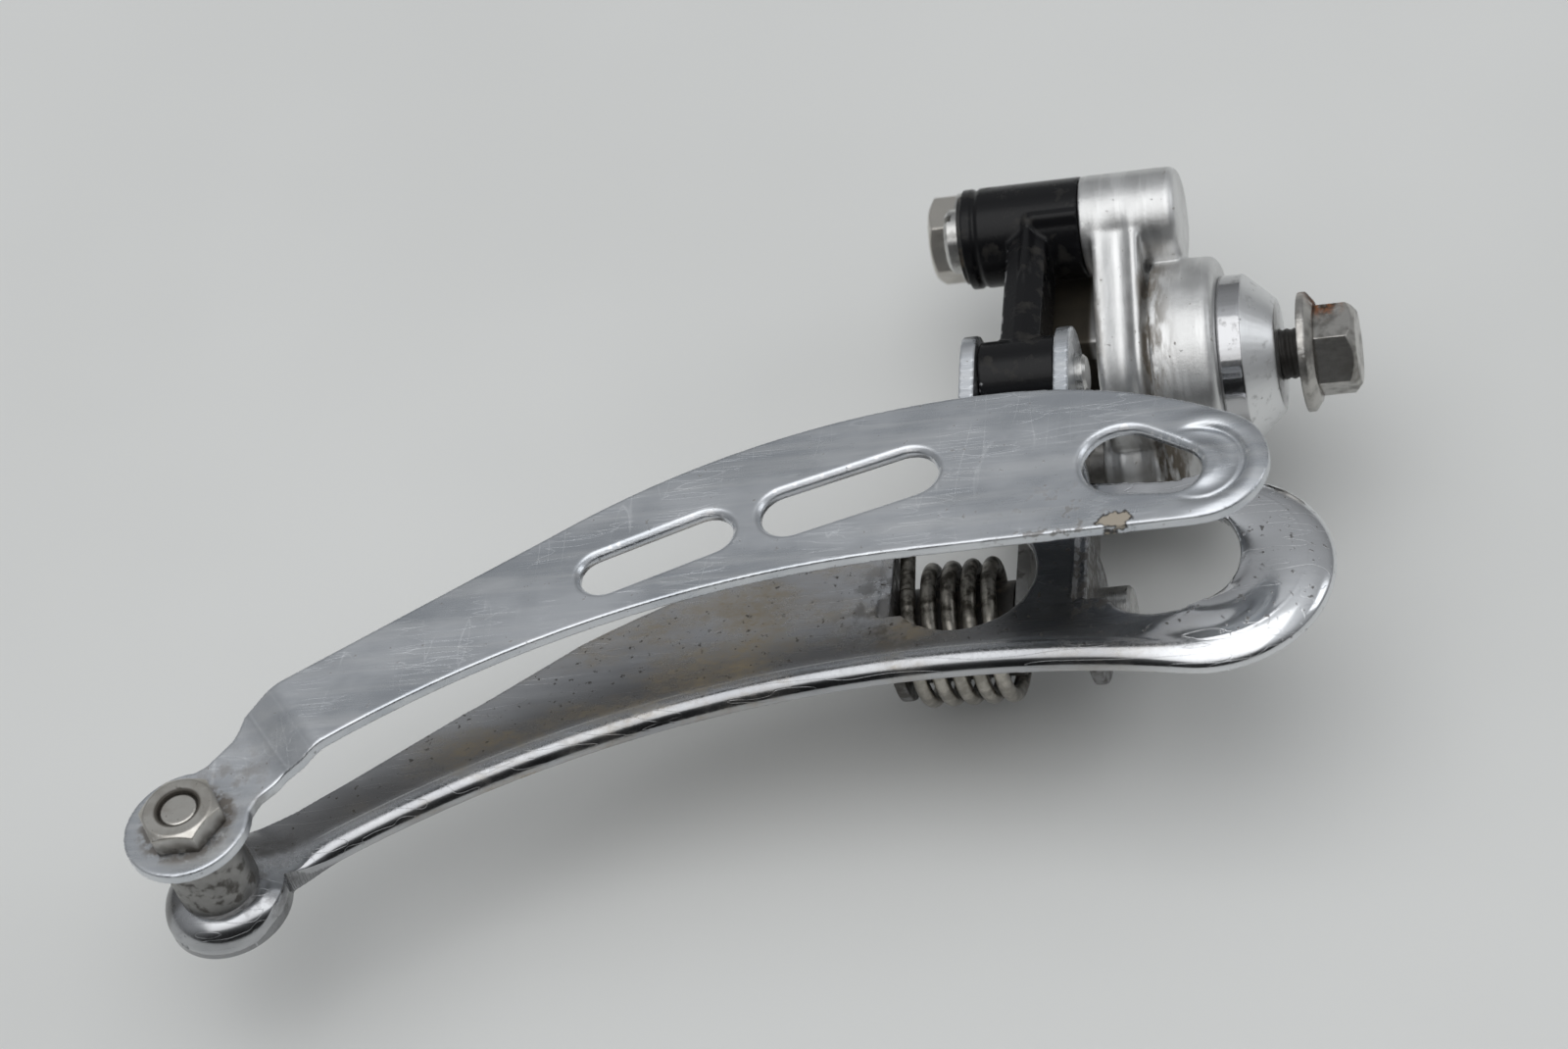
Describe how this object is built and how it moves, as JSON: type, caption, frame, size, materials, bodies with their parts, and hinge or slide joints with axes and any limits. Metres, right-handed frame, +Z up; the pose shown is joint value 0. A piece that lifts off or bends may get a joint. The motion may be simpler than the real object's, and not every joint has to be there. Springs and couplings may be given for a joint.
{
  "type": "front derailleur",
  "caption": "Bottom-pull front derailleur: a forged body on a hanger bolt, two parallel links, a sprung chain cage of two shaped plates, and a cable anchor lever",
  "frame": {"origin": "centre of the flat seat on the mounting collar, on the mounting bolt's axis", "axes": "+X forward along the mounting bolt, +Y towards the seat tube (left of the bicycle), +Z up"},
  "size_m": [0.1126, 0.0294, 0.0888],
  "materials": {
    "cast_alloy": "satin cast alloy with grime in the corners",
    "polished_ring": "polished band with a satin cone",
    "bolt_steel": "satin steel with light rust",
    "black_anodised": "gloss black anodised",
    "link_steel": "dull plated steel",
    "pin_steel": "turned steel",
    "washer_dark": "dark thrust washer",
    "sleeve_plastic": "greasy dark plastic",
    "spring_steel": "oily spring steel",
    "outer_plate_satin": "worn satin polish with fine scratches",
    "inner_plate_chrome": "chrome with brown grease stains",
    "spacer_steel": "dull steel",
    "nut_steel": "warm matt steel"
  },
  "bodies": {
    "fixed_body": {"main_body": "cast_alloy", "mount_collar": "polished_ring", "upper_outer_pivot_screw": "pin_steel", "upper_outer_thrust_washer": "washer_dark", "upper_inner_pivot_screw": "pin_steel", "upper_inner_thrust_washer": "washer_dark", "low_limit_spring": "spring_steel", "high_limit_spring": "spring_steel"},
    "hanger_bolt": {"mount_bolt": "bolt_steel", "mount_washer": "bolt_steel"},
    "outer_arm": {"outer_link": "black_anodised"},
    "cable_clamp": {"cable_anchor_bolt": "bolt_steel", "cable_anchor_washer": "pin_steel"},
    "inner_arm": {"inner_link": "link_steel"},
    "chain_cage": {"cage_outer_plate": "outer_plate_satin", "cage_inner_plate": "inner_plate_chrome", "cage_spacer": "spacer_steel", "cage_tail_bolt": "nut_steel", "cage_tail_nut": "nut_steel", "lower_outer_pivot_pin": "pin_steel", "lower_inner_pivot_pin": "pin_steel", "lower_inner_pin_clip": "pin_steel", "spring_sleeve": "sleeve_plastic", "return_spring": "spring_steel"},
    "low_limit": {"low_limit_screw": "pin_steel"},
    "high_limit": {"high_limit_screw": "pin_steel"}
  },
  "joints": [
    {"name": "shift", "type": "hinge", "parent": "fixed_body", "child": "outer_arm", "pos_m": [-0.0227, -0.01, 0.0107], "axis": [-1, 0, 0], "range_deg": [0, 36]},
    {"name": "cage_level", "type": "hinge", "parent": "outer_arm", "child": "chain_cage", "pos_m": [-0.0227, -0.01, -0.0098], "axis": [-1, 0, 0], "range_deg": [-36, 0]},
    {"name": "inner_follow", "type": "hinge", "parent": "fixed_body", "child": "inner_arm", "pos_m": [-0.0227, 0.007, -0.0058], "axis": [-1, 0, 0], "range_deg": [0, 36], "deforming": ["return_spring"]},
    {"name": "hanger_bolt_travel", "type": "slide", "parent": "fixed_body", "child": "hanger_bolt", "axis": [1, 0, 0], "range_m": [0, 0.005]},
    {"name": "cable_clamp_travel", "type": "slide", "parent": "outer_arm", "child": "cable_clamp", "axis": [-1, 0, 0], "range_m": [0, 0.0015]},
    {"name": "low_limit_travel", "type": "slide", "parent": "fixed_body", "child": "low_limit", "axis": [0, 0, 1], "range_m": [0, 0.0015], "deforming": ["low_limit_spring"]},
    {"name": "high_limit_travel", "type": "slide", "parent": "fixed_body", "child": "high_limit", "axis": [0, 0, 1], "range_m": [0, 0.0015], "deforming": ["high_limit_spring"]}
  ],
  "couplings": [
    {"joint": "cage_level", "follows": "shift", "ratio": -1},
    {"joint": "inner_follow", "follows": "shift", "ratio": 1}
  ]
}
